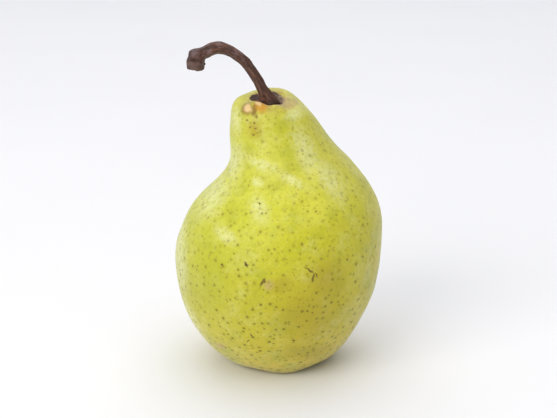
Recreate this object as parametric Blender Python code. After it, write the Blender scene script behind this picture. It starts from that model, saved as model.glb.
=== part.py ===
"""A whole green dessert pear, standing on its eye end, with its bent woody stem.

The fruit is one solid, lofted through rings that run from the middle of the
calyx basin, round the belly and the neck, to the floor of the socket that the
stem grows out of. The stem, the five dried sepals and the tuft of dried
stamens in the basin are pieces of their own.

Frame: metres, +Z up. The origin is on the plane that the pear stands on,
under the middle of its widest girth. -Y is the front, and the stem bends
over to -X. The sizes below are in millimetres.
"""

import math
from typing import NamedTuple

import bmesh
import bpy
import numpy as np
from mathutils import Matrix, Vector, noise

MM = 0.001

# Driving dimensions, in millimetres.
GIRTH = 66.0  # widest diameter of the fruit
BODY_HEIGHT = 88.3  # from the resting spot to the top of the crown
STEM_THICKNESS = 3.05  # at the thinnest place, a third of the way up

# The outline below is drawn for these two, and is scaled to the driving dimensions.
DRAWN_GIRTH = 66.0
DRAWN_HEIGHT = 88.3

RING_SEGMENTS = 48
RINGS_PER_STATION = 2
NOD_HEADING = math.radians(244)  # the direction that the crown nods in, from +X: forward and to the left

LOBES = 5  # a pear's core has five cells, which show as lobes round the eye
LOBE_CREST = math.radians(-80)  # one lobe faces the front
LOBE_DEPTH = 1.0
LOBE_RADIUS = 12.5  # distance from the axis at which the lobes are strongest
LOBE_REACH = 9.0
LOBE_TOP = 24.0  # height at which the lobes have died away

BUMP_SIZE = 21.0  # wavelength of the broad bumps in the skin
BUMP_DEPTH = 0.55
FINE_BUMP_SIZE = 9.0
FINE_BUMP_DEPTH = 0.16
BUMP_FADE = 5.0  # the bumps die away over this much radius, towards the basin and the socket

STEM_SEGMENTS = 16
STEM_RINGS = 30
STEM_RIDGES = 5
STEM_RIDGE_DEPTH = 0.07
STEM_TWIST = math.radians(70)

SEPALS = 5
SEPAL_STEPS = 6
SEPAL_ROOT = 1.9  # distance of its root from the axis
SEPAL_LENGTH = 4.7
SEPAL_TOP = 4.3  # height of its root, close under the floor of the basin
SEPAL_DROP = 2.5  # how far the tip curls down towards the eye's mouth
SEPAL_THICKNESS = 0.45

TUFT_SEGMENTS = 20
TUFT_RIDGES = 10
TUFT_RIDGE_DEPTH = 0.12
TUFT = [(4.7, 1.15), (4.0, 1.25), (3.3, 1.3), (2.7, 1.05), (2.4, 0.6)]  # height and radius of each ring
TUFT_TIP = 2.25


class Station(NamedTuple):
    """A ring along the outline: its size, where its middle lies, and how many degrees it nods."""

    height: float
    radius: float
    lean_x: float = 0.0
    lean_y: float = 0.0
    nod: float = 0.0


FRUIT = [
    Station(5.5, 0.0),  # middle of the calyx basin
    Station(5.3, 2.2),
    Station(4.4, 4.6),
    Station(2.4, 6.8),
    Station(0.3, 9.5),
    Station(-0.75, 12.4),  # crest of the rim, flattened where the pear stands on it
    Station(0.9, 17.0, -0.1),
    Station(6.0, 22.3, -0.3),
    Station(15.0, 28.1, -0.6),
    Station(26.0, 31.9, -0.4),
    Station(37.0, 33.0),  # widest girth
    Station(46.5, 31.5, 1.6),
    Station(54.0, 28.1, 3.0),
    Station(60.5, 23.0, 4.3),  # the full shoulder on the right
    Station(66.6, 18.7, 3.4, 0.0, 1),
    Station(73.0, 15.6, 0.6, -0.3, 3),  # the neck
    Station(79.0, 13.3, -1.6, -0.8, 7),
    Station(83.6, 11.0, -3.1, -1.4, 11),
    Station(85.7, 8.5, -3.8, -2.2, 16),  # the crown, which faces forward and to the left
    Station(85.9, 5.8, -3.3, -3.2, 21),
    Station(84.7, 3.8, -2.3, -3.9, 25),  # mouth of the socket
    Station(83.2, 2.9, -1.5, -3.6, 27),
    Station(81.6, 2.6, -0.8, -3.2, 27),
    Station(81.2, 0.0, -0.6, -3.1, 27),  # floor of the socket
]


class Joint(NamedTuple):
    """A place along the middle of the stem, and its thickness as a share of the thinnest place."""

    x: float
    y: float
    z: float
    swell: float


STEM = [
    Joint(-1.05, -3.5, 82.4, 1.3),  # foot, inside the socket
    Joint(-2.1, -3.8, 84.9, 1.4),
    Joint(-3.3, -4.0, 87.4, 1.3),
    Joint(-5.6, -4.3, 92.0, 1.02),
    Joint(-9.4, -4.7, 97.7, 1.0),
    Joint(-14.3, -5.7, 101.7, 1.08),
    Joint(-18.8, -6.5, 102.7, 1.22),  # top of the bend
    Joint(-22.1, -7.3, 101.5, 1.34),
    Joint(-24.2, -7.9, 99.9, 1.74),  # swollen end, where it broke from the spur
    Joint(-24.9, -8.1, 97.9, 1.72),
    Joint(-25.1, -8.2, 96.5, 1.42),
]


def natural_spline(knots, values, places):
    """Values at the places, on the natural cubic spline through the values at the knots."""
    count = len(knots)
    gap = np.diff(knots)
    system = np.eye(count)
    right = np.zeros_like(values)
    for i in range(1, count - 1):
        system[i, i - 1 : i + 2] = gap[i - 1], 2 * (gap[i - 1] + gap[i]), gap[i]
        right[i] = 6 * ((values[i + 1] - values[i]) / gap[i] - (values[i] - values[i - 1]) / gap[i - 1])
    bend = np.linalg.solve(system, right)
    low = np.clip(np.searchsorted(knots, places, side="right") - 1, 0, count - 2)
    width = gap[low][:, None]
    after = (places - knots[low])[:, None]
    before = width - after
    curved = (bend[low] * before**3 + bend[low + 1] * after**3) / (6 * width)
    return (
        curved
        + (values[low] / width - bend[low] * width / 6) * before
        + (values[low + 1] / width - bend[low + 1] * width / 6) * after
    )


def smooth_step(value):
    """0 below 0, 1 above 1, and a smooth rise between them."""
    share = np.clip(value, 0.0, 1.0)
    return share * share * (3 - 2 * share)


def fruit_rings():
    """Heights, radii, middles and nods of the fruit's rings, along the smooth outline."""
    wide = GIRTH / DRAWN_GIRTH
    tall = BODY_HEIGHT / DRAWN_HEIGHT
    stations = np.array(FRUIT) * [tall, wide, wide, wide, 1.0]
    steps = np.hypot(*np.diff(stations[:, :2], axis=0).T)
    knots = np.concatenate([[0.0], np.cumsum(steps)])
    shares = np.arange((len(FRUIT) - 1) * RINGS_PER_STATION + 1) / RINGS_PER_STATION
    places = np.interp(shares, np.arange(len(FRUIT)), knots)
    return natural_spline(knots, stations, places)


def skin_bump(point, radius):
    """How far the skin stands out at a point, from its broad and its fine bumps."""
    broad = noise.noise(point / BUMP_SIZE) * BUMP_DEPTH
    fine = noise.noise(point / FINE_BUMP_SIZE + Vector((7.0, 3.0, 1.0))) * FINE_BUMP_DEPTH
    return (broad + fine) * float(smooth_step((radius - BUMP_FADE) / BUMP_FADE))


def lobe_dip(angle, height, radius):
    """How far the skin draws in, up into the fruit, in the grooves between the lobes round the eye."""
    groove = (1 - math.cos(LOBES * (angle - LOBE_CREST))) / 2
    near_eye = math.exp(-(((radius - LOBE_RADIUS) / LOBE_REACH) ** 2))
    low_down = 1 - float(smooth_step(height / LOBE_TOP))
    return LOBE_DEPTH * groove * near_eye * low_down


def ring_points(height, radius, lean_x, lean_y, nod):
    """The points of one ring of the fruit."""
    hinge = Vector((-math.sin(NOD_HEADING), math.cos(NOD_HEADING), 0))
    tilt = Matrix.Rotation(math.radians(nod), 3, hinge)
    middle = Vector((lean_x, lean_y, height))
    points = []
    for i in range(RING_SEGMENTS):
        angle = 2 * math.pi * i / RING_SEGMENTS
        outward = tilt @ Vector((math.cos(angle), math.sin(angle), 0))
        point = middle + outward * radius
        point += outward * skin_bump(point, radius)
        point.z += lobe_dip(angle, height, radius)
        point.z = max(point.z, 0.0)  # the flat spot
        points.append(point)
    return points


def loft(bm, rings, start=None, end=None):
    """A closed skin through rings of equal count, with a point or a flat cap at each end."""
    loops = [[bm.verts.new(p) for p in ring] for ring in rings]
    for one, other in zip(loops, loops[1:]):
        for i in range(len(one)):
            j = (i + 1) % len(one)
            bm.faces.new((one[i], one[j], other[j], other[i]))
    for loop, tip in ((loops[0], start), (loops[-1], end)):
        if tip is None:
            bm.faces.new(loop)
            continue
        centre = bm.verts.new(tip)
        for i in range(len(loop)):
            bm.faces.new((loop[i], loop[(i + 1) % len(loop)], centre))


def add_object(name, bm, material, root):
    """Turns a bmesh drawn in millimetres into a named, smooth-shaded object under the root."""
    bmesh.ops.recalc_face_normals(bm, faces=bm.faces)
    bmesh.ops.scale(bm, vec=(MM, MM, MM), verts=bm.verts)
    mesh = bpy.data.meshes.new(name)
    bm.to_mesh(mesh)
    bm.free()
    mesh.shade_smooth()
    mesh.materials.append(material)
    obj = bpy.data.objects.new(name, mesh)
    bpy.context.scene.collection.objects.link(obj)
    obj.parent = root
    return obj


def make_material(name, colour, roughness):
    """A Principled material of one colour."""
    material = bpy.data.materials.new(name)
    material.use_nodes = True
    shader = material.node_tree.nodes["Principled BSDF"]
    shader.inputs["Base Color"].default_value = (*colour, 1.0)
    shader.inputs["Roughness"].default_value = roughness
    shader.inputs["Metallic"].default_value = 0.0
    return material


def make_fruit(material, root):
    """The fruit, from the calyx basin to the stem's socket, as one solid."""
    stations = fruit_rings()
    bm = bmesh.new()
    rings = [ring_points(*station) for station in stations[1:-1]]
    basin = Vector((stations[0][2], stations[0][3], stations[0][0]))
    socket = Vector((stations[-1][2], stations[-1][3], stations[-1][0]))
    loft(bm, rings, start=basin, end=socket)
    return add_object("pear_body", bm, material, root)


def make_stem(material, root):
    """The woody stem, ridged and slightly twisted, from its foot in the socket to its swollen end."""
    joints = np.array(STEM)
    knots = np.concatenate([[0.0], np.cumsum(np.linalg.norm(np.diff(joints[:, :3], axis=0), axis=1))])
    places = np.linspace(0.0, knots[-1], STEM_RINGS)
    middles = natural_spline(knots, joints, places)
    side = Vector((0, -1, 0))
    rings = []
    for i, (x, y, z, swell) in enumerate(middles):
        before = middles[max(i - 1, 0)][:3]
        after = middles[min(i + 1, STEM_RINGS - 1)][:3]
        along = Vector(after - before).normalized()
        side = (side - along * side.dot(along)).normalized()
        across = along.cross(side)
        twist = STEM_TWIST * i / (STEM_RINGS - 1)
        ring = []
        for k in range(STEM_SEGMENTS):
            angle = 2 * math.pi * k / STEM_SEGMENTS
            ridge = 1 + STEM_RIDGE_DEPTH * math.cos(STEM_RIDGES * angle + twist)
            reach = STEM_THICKNESS / 2 * swell * ridge
            ring.append(Vector((x, y, z)) + (side * math.cos(angle) + across * math.sin(angle)) * reach)
        rings.append(ring)
    bm = bmesh.new()
    loft(bm, rings)
    return add_object("stem", bm, material, root)


def make_sepal(number, material, root):
    """One dried sepal: a thin pointed blade that lies along the basin and curls away at its tip."""
    azimuth = LOBE_CREST + 2 * math.pi * (number - 1) / SEPALS
    outward = Vector((math.cos(azimuth), math.sin(azimuth), 0))
    across = Vector((-math.sin(azimuth), math.cos(azimuth), 0))
    rings = []
    for i in range(SEPAL_STEPS + 1):
        share = i / SEPAL_STEPS
        reach = SEPAL_ROOT + SEPAL_LENGTH * share
        height = SEPAL_TOP - 0.3 * share - SEPAL_DROP * share**2.2
        half_width = 0.25 + 1.1 * math.sin(math.pi * (0.3 + 0.7 * share)) ** 0.8
        middle = outward * reach + Vector((0, 0, height))
        cup = Vector((0, 0, -0.35 * math.sin(math.pi * share)))  # the edges hang lower than the rib
        half_thick = Vector((0, 0, SEPAL_THICKNESS / 2))
        edge = across * half_width
        rings.append(
            [
                middle - edge + cup - half_thick,
                middle - half_thick,
                middle + edge + cup - half_thick,
                middle + edge + cup + half_thick,
                middle + half_thick,
                middle - edge + cup + half_thick,
            ]
        )
    bm = bmesh.new()
    loft(bm, rings)
    return add_object(f"calyx_sepal_{number}", bm, material, root)


def make_tuft(material, root):
    """The dried stamens and styles, as one ridged tuft in the middle of the basin."""
    rings = []
    for height, radius in TUFT:
        ring = []
        for k in range(TUFT_SEGMENTS):
            angle = 2 * math.pi * k / TUFT_SEGMENTS
            reach = radius * (1 + TUFT_RIDGE_DEPTH * math.cos(TUFT_RIDGES * angle))
            ring.append(Vector((reach * math.cos(angle), reach * math.sin(angle), height)))
        rings.append(ring)
    bm = bmesh.new()
    loft(bm, rings, end=Vector((0, 0, TUFT_TIP)))
    return add_object("calyx_stamen_tuft", bm, material, root)


def middle_of_girth(fruit):
    """Where the middle of the fruit's footprint lies, in metres."""
    points = np.array([v.co for v in fruit.data.vertices])
    return (points.min(axis=0) + points.max(axis=0)) / 2


def main():
    """Builds the pear and sets it over the origin."""
    for obj in list(bpy.data.objects):
        bpy.data.objects.remove(obj)
    root = bpy.data.objects.new("pear_root", None)
    bpy.context.scene.collection.objects.link(root)
    skin = make_material("pear_skin", (0.56, 0.57, 0.10), 0.38)
    wood = make_material("stem_wood", (0.075, 0.038, 0.022), 0.62)
    dried = make_material("dried_calyx", (0.055, 0.035, 0.020), 0.85)
    fruit = make_fruit(skin, root)
    make_stem(wood, root)
    for number in range(1, SEPALS + 1):
        make_sepal(number, dried, root)
    make_tuft(dried, root)
    middle = middle_of_girth(fruit)
    root.location = (-middle[0], -middle[1], 0.0)


main()
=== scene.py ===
"""A whole ripe green pear: its waxy skin, woody stem and dried eye, dressed over the CAD frame.

The frame gives every place and size. The shapes are drawn here in millimetres, by the same
outline as the frame's solids but far finer, and each is then set into its own node's box.
-Y is the front, and the stem bends over to -X.
"""

import logging
import math
from dataclasses import dataclass, field
from enum import Enum
from typing import Mapping, Sequence

import bpy
import numpy as np
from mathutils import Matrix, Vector, noise
from mathutils.bvhtree import BVHTree


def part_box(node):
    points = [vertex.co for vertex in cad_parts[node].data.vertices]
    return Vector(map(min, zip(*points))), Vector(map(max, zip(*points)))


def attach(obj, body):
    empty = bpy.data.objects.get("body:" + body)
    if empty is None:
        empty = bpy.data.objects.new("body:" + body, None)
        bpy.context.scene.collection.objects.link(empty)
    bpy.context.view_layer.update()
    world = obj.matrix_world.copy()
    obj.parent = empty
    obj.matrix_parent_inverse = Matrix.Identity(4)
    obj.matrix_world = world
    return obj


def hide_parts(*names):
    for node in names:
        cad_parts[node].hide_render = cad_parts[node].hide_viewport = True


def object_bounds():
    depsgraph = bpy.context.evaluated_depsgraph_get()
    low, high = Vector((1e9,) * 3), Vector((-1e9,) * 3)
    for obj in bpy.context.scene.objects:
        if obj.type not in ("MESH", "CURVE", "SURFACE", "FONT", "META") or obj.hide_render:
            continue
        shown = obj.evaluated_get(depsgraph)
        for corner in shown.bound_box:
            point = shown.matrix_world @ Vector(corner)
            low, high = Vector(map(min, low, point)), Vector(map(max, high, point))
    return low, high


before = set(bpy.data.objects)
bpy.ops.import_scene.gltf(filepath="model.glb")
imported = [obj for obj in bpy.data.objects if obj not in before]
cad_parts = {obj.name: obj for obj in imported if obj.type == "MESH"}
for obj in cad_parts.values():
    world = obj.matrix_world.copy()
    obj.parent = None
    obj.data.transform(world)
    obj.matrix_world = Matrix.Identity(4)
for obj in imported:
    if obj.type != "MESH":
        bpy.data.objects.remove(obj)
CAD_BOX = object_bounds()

MM = 0.001
BODY = "root"
GOLDEN_ANGLE = 2.399963  # radians, which spreads things evenly round a middle
LOG = logging.getLogger("pear")

Array = np.ndarray
Piece = bpy.types.Object
Material = bpy.types.Material
Socket = bpy.types.NodeSocket
Feed = Socket | float | Sequence[float]


# ---------------- shared tools


def linear(colour: str) -> tuple[float, float, float, float]:
    """Turns an sRGB hex colour into the linear colour that a shader takes.

    Args:
        colour: the colour, such as "#D2CE52".

    Returns:
        Red, green, blue and an alpha of 1.
    """
    parts = [int(colour[i : i + 2], 16) / 255 for i in (1, 3, 5)]
    red, green, blue = (c / 12.92 if c <= 0.04045 else ((c + 0.055) / 1.055) ** 2.4 for c in parts)
    return red, green, blue, 1.0


def add_node(
    tree: bpy.types.NodeTree, kind: str, feeds: Mapping[str | int, Feed] | None = None, **settings: object
) -> Socket:
    """Adds a node, sets it up and links its inputs.

    Args:
        tree: the node tree that takes the node.
        kind: Blender's name of the node's type.
        feeds: by input name or number, a socket to link or a value to set.
        settings: the node's own properties.

    Returns:
        The node's first output that is in use; its .node gives the others.
    """
    node = tree.nodes.new(kind)
    for name, value in settings.items():
        setattr(node, name, value)
    for key, value in (feeds or {}).items():
        by_name = [s for s in node.inputs if s.enabled and s.name == key]
        socket = by_name[0] if by_name else node.inputs[key]
        if isinstance(value, Socket):
            tree.links.new(value, socket)
        else:
            socket.default_value = value
    return next(socket for socket in node.outputs if socket.enabled)


@dataclass(frozen=True)
class Tint:
    """A colour that is laid over others, and how well it covers them, from 0 to 1."""

    colour: str
    cover: float


@dataclass(frozen=True)
class Wiring:
    """A material's node tree and its shader, with the steps that every finish is made of."""

    tree: bpy.types.NodeTree
    shader: bpy.types.Node

    def math(self, operation: str, *values: Feed) -> Socket:
        """Works out a number from others."""
        return add_node(self.tree, "ShaderNodeMath", dict(enumerate(values)), operation=operation)

    def vector(self, operation: str, *values: Feed, **named: Feed) -> Socket:
        """Works out a vector, or a number, from vectors."""
        feeds = {**dict(enumerate(values)), **named}
        return add_node(self.tree, "ShaderNodeVectorMath", feeds, operation=operation)

    def times(self, value: Feed, factor: Feed) -> Socket:
        """Multiplies two numbers."""
        return self.math("MULTIPLY", value, factor)

    def parts(self, vector: Feed) -> Mapping[str, Socket]:
        """Takes a vector apart into X, Y and Z."""
        return add_node(self.tree, "ShaderNodeSeparateXYZ", {0: vector}).node.outputs

    def millimetres(self) -> Socket:
        """Gives the place on the piece, in millimetres."""
        coords = add_node(self.tree, "ShaderNodeTexCoord").node.outputs["Object"]
        return self.vector("SCALE", coords, Scale=1 / MM)

    def mix(self, under: Feed, over: Feed, factor: Feed, how: str = "MIX") -> Socket:
        """Lays one colour over another."""
        feeds = {"Factor": factor, "A": under, "B": over}
        return add_node(self.tree, "ShaderNodeMix", feeds, data_type="RGBA", blend_type=how)

    def tint(self, under: Feed, tint: Tint, where: Feed) -> Socket:
        """Lays a tint over a colour where something stands at 1."""
        return self.mix(under, linear(tint.colour), self.times(where, tint.cover))

    def between(self, value: Feed, low: float, high: float, smooth: bool = True) -> Socket:
        """Gives 0 where a value is at low, 1 where it is at high, and a rise between them.

        Args:
            value: the value.
            low: where the rise starts.
            high: where it ends, which may be below low.
            smooth: whether it eases in and out.

        Returns:
            A number from 0 to 1.
        """
        feeds = {"Value": value, "From Min": low, "From Max": high}
        ease = "SMOOTHSTEP" if smooth else "LINEAR"
        return add_node(self.tree, "ShaderNodeMapRange", feeds, interpolation_type=ease)

    def spread(self, share: Feed, low: float, high: float) -> Socket:
        """Turns a number from 0 to 1 into one from low to high."""
        return add_node(self.tree, "ShaderNodeMapRange", {"Value": share, "To Min": low, "To Max": high})

    def noise(self, place: Feed, size: float, detail: float) -> Socket:
        """Gives noise whose swells are of a size in millimetres."""
        feeds = {"Vector": place, "Scale": 1 / size, "Detail": detail}
        return add_node(self.tree, "ShaderNodeTexNoise", feeds)

    def patches(
        self, place: Feed, size: float, low: float, high: float, seed: float = 0.0, detail: float = 2.0
    ) -> Socket:
        """Gives soft patches.

        Args:
            place: the place on the piece, in millimetres.
            size: the patches' size, in millimetres.
            low: the noise that is still outside a patch.
            high: the noise that is fully inside one.
            seed: moves the noise, so that each use has its own.
            detail: how many finer waves ride on the patches.

        Returns:
            0 between the patches and 1 in them.
        """
        moved = self.vector("ADD", place, (seed, seed, seed))
        return self.between(self.noise(moved, size, detail), low, high)

    def dress(self, colour: Feed, roughness: Feed, height: Feed, depth: float = 1.0) -> None:
        """Gives the shader its colour, its roughness and its fine relief.

        Args:
            colour: the colour.
            roughness: the roughness, from 0 to 1.
            height: how far the surface stands out.
            depth: how far out a height of 1 is, in millimetres.
        """
        feeds = {"Strength": 1.0, "Distance": depth * MM, "Height": height}
        relief = add_node(self.tree, "ShaderNodeBump", feeds)
        for name, feed in (("Base Color", colour), ("Roughness", roughness), ("Normal", relief)):
            self.tree.links.new(feed, self.shader.inputs[name])


def blank_material(name: str) -> tuple[Material, Wiring]:
    """Starts a material that has only its shader and its output.

    Args:
        name: the material's name.

    Returns:
        The material, and the wiring of its nodes.
    """
    material = bpy.data.materials.new(name)
    material.use_nodes = True
    tree = material.node_tree
    return material, Wiring(tree, tree.nodes["Principled BSDF"])


def put(name: str, data: bpy.types.ID) -> Piece:
    """Makes an object of a mesh, a light or a camera, and puts it into the scene.

    Args:
        name: the object's name.
        data: what it shows.

    Returns:
        The object.
    """
    made = bpy.data.objects.new(name, data)
    bpy.context.scene.collection.objects.link(made)
    return made


def smooth_step(value: Array | float) -> Array | float:
    """Gives 0 below 0, 1 above 1, and a smooth rise between them."""
    share = np.clip(value, 0.0, 1.0)
    return share * share * (3 - 2 * share)


def natural_spline(knots: Array, values: Array, places: Array) -> Array:
    """Runs a natural cubic spline through rows of values.

    Args:
        knots: where the rows lie along the curve.
        values: one row for each knot.
        places: where rows are wanted.

    Returns:
        One row for each place.
    """
    count = len(knots)
    gap = np.diff(knots)
    system = np.eye(count)
    right = np.zeros_like(values)
    for i in range(1, count - 1):
        system[i, i - 1 : i + 2] = gap[i - 1], 2 * (gap[i - 1] + gap[i]), gap[i]
        right[i] = 6 * ((values[i + 1] - values[i]) / gap[i] - (values[i] - values[i - 1]) / gap[i - 1])
    bend = np.linalg.solve(system, right)
    low = np.clip(np.searchsorted(knots, places, side="right") - 1, 0, count - 2)
    width = gap[low][:, None]
    after = (places - knots[low])[:, None]
    before = width - after
    curved = (bend[low] * before**3 + bend[low + 1] * after**3) / (6 * width)
    return (
        curved
        + (values[low] / width - bend[low] * width / 6) * before
        + (values[low + 1] / width - bend[low + 1] * width / 6) * after
    )


def grain_noise(points: Array, size: float, seed: float) -> Array:
    """Samples smooth noise at many points.

    Args:
        points: an array of points, in millimetres, with any shape before its last axis.
        size: the length of one swell of the noise, in millimetres.
        seed: moves the noise, so that each use has its own.

    Returns:
        Values of about -1 to 1, in the shape that the points have.
    """
    shift = Vector((seed, seed * 1.7, seed * 0.6))
    flat = points.reshape(-1, 3) / size
    values = [noise.noise(Vector(p) + shift) for p in flat.tolist()]
    return np.array(values).reshape(points.shape[:-1])


def grid_normals(points: Array) -> Array:
    """Works out the outward directions of a closed-round grid of rings.

    Args:
        points: rings by segments by 3, each ring going anticlockwise seen from the rings after it.

    Returns:
        Unit vectors, in the same shape.
    """
    along = np.gradient(points, axis=0)
    around = np.roll(points, -1, axis=1) - np.roll(points, 1, axis=1)
    normal = np.cross(around, along)
    return normal / np.maximum(np.linalg.norm(normal, axis=-1, keepdims=True), 1e-9)


@dataclass
class Shell:
    """The mesh of one piece while it is being drawn, in millimetres."""

    points: list[Array] = field(default_factory=list)
    faces: list[tuple[int, ...]] = field(default_factory=list)
    grain: list[Array] = field(default_factory=list)

    def stitch(self, low: int, high: int, segments: int) -> None:
        """Joins two rings with faces.

        Args:
            low: the number of the first ring's first point.
            high: the number of the second ring's first point.
            segments: how many points each ring has.
        """
        turn = np.arange(segments)
        after = (turn + 1) % segments
        corners = (low + turn, low + after, high + after, high + turn)
        self.faces.extend(zip(*(corner.tolist() for corner in corners)))

    def add_rings(self, rings: Array, grain: Array | None = None) -> None:
        """Adds a closed skin through rings, drawn to a point in the middle of each end.

        Args:
            rings: rings by segments by 3.
            grain: where each point lies in the straight, unbent material, if it is bent.
        """
        start = sum(len(p) for p in self.points)
        count, segments = rings.shape[:2]
        for i in range(count - 1):
            self.stitch(start + i * segments, start + (i + 1) * segments, segments)
        first = start + count * segments
        top = start + (count - 1) * segments
        for turn in range(segments):
            self.faces.append((start + (turn + 1) % segments, start + turn, first))
        for turn in range(segments):
            self.faces.append((top + turn, top + (turn + 1) % segments, first + 1))
        for store, grid in ((self.points, rings), (self.grain, rings if grain is None else grain)):
            store.append(np.concatenate([grid.reshape(-1, 3), grid[[0, -1]].mean(axis=1)]))

    def add_band(self, rings: Array) -> None:
        """Adds a closed band, whose last ring joins its first.

        Args:
            rings: rings by segments by 3, each closed round on itself.
        """
        count, segments = rings.shape[:2]
        for i in range(count):
            self.stitch(i * segments, (i + 1) % count * segments, segments)
        self.points.append(rings.reshape(-1, 3))
        self.grain.append(rings.reshape(-1, 3))

    def finish(
        self, name: str, material: Material, slot: str, node: str | None = None
    ) -> Piece:
        """Makes the piece, sets it into its node's box, and hangs it on the frame's body.

        Args:
            name: the piece's name.
            material: what it is made of.
            slot: the material slot that it belongs to; not used.
            node: the CAD node that it stands for and whose box it fills, if it has one.

        Returns:
            The finished object.
        """
        points = np.concatenate(self.points) * MM
        if node:
            points = into_box(points, *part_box(node))
        mesh = bpy.data.meshes.new(name)
        mesh.from_pydata(points.tolist(), [], self.faces)
        grain = mesh.attributes.new("grain", "FLOAT_VECTOR", "POINT")
        grain.data.foreach_set("vector", np.concatenate(self.grain).ravel())
        mesh.shade_smooth()
        mesh.materials.append(material)
        mesh.validate()
        piece = put(name, mesh)
        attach(piece, BODY)
        if node:
            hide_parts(node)
        LOG.info("%s: %d points, %d faces", name, len(mesh.vertices), len(mesh.polygons))
        return piece


def into_box(points: Array, low: Vector, high: Vector) -> Array:
    """Stretches points until they just fill a box, which moves them by well under a millimetre.

    Args:
        points: any number of points by 3.
        low: the box's low corner.
        high: its high corner.

    Returns:
        The points, in the same order.
    """
    bottom, top = points.min(axis=0), points.max(axis=0)
    share = (points - bottom) / (top - bottom)
    return np.array(low) + share * (np.array(high) - np.array(low))


# ---------------- what marks the skin


class Side(Enum):
    """The side of the pear that a mark is on, as the way to it from the middle."""

    FRONT = -1.0
    BACK = 1.0


class Blemish(Enum):
    """A kind of mark on the skin: its colour, how well it covers, and how soft its edge is."""

    GREEN_WITH_PAINTED_SHADE = ("#ABAE0C", 0.55, 0.95)  # darker green mottling, and painted shade where it lies in the skin's dents
    OLIVE_GOLD_AND_SHADE = ("#AE9A06", 0.70, 0.95)  # olive-gold tone, with painted shade and reflected colour of a neighbouring fruit on the lower right
    PAINTED_LIGHT_YELLOW = ("#DEDA4A", 0.62, 0.95)  # clear yellow patches on the right shoulder and neck: painted light
    PALE_BLOOM_AND_HIGHLIGHT = ("#E0E2A6", 0.62, 0.95)  # pale wax bloom, with painted highlights on the upper belly and neck and a painted reflection along the left edge
    RUB = ("#BC9C6C", 0.66, 0.80)  # healed rub, thin beige cork under the wax
    GREY_CORK = ("#9A8468", 0.75, 0.90)  # thin weathered cork round the stem
    RUSSET = ("#7E541C", 0.80, 0.65)  # rough brown cork
    AMBER = ("#CC8A1C", 0.80, 0.75)
    # pale cream on the amber russet spot, mostly a painted highlight
    CREAM_HIGHLIGHT = ("#E8C68C", 0.90, 0.50)
    SCRATCH = ("#5A3E04", 0.85, 0.65)
    CORK_SPOT = ("#4A2C02", 0.92, 0.55)

    def __init__(self, colour: str, cover: float, softness: float) -> None:
        """Keeps the kind's looks under their own names.

        Args:
            colour: the colour.
            cover: how well it covers, from 0 to 1.
            softness: how soft its edge is, from 0 to 1.
        """
        self.colour = colour
        self.cover = cover
        self.softness = softness


@dataclass(frozen=True)
class Mark:
    """One mark, an oval on the skin: where it is and its size, in millimetres, and its turn in degrees."""

    kind: Blemish
    x: float
    z: float
    wide: float
    long: float
    turn: float = 0.0
    side: Side = Side.FRONT


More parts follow.
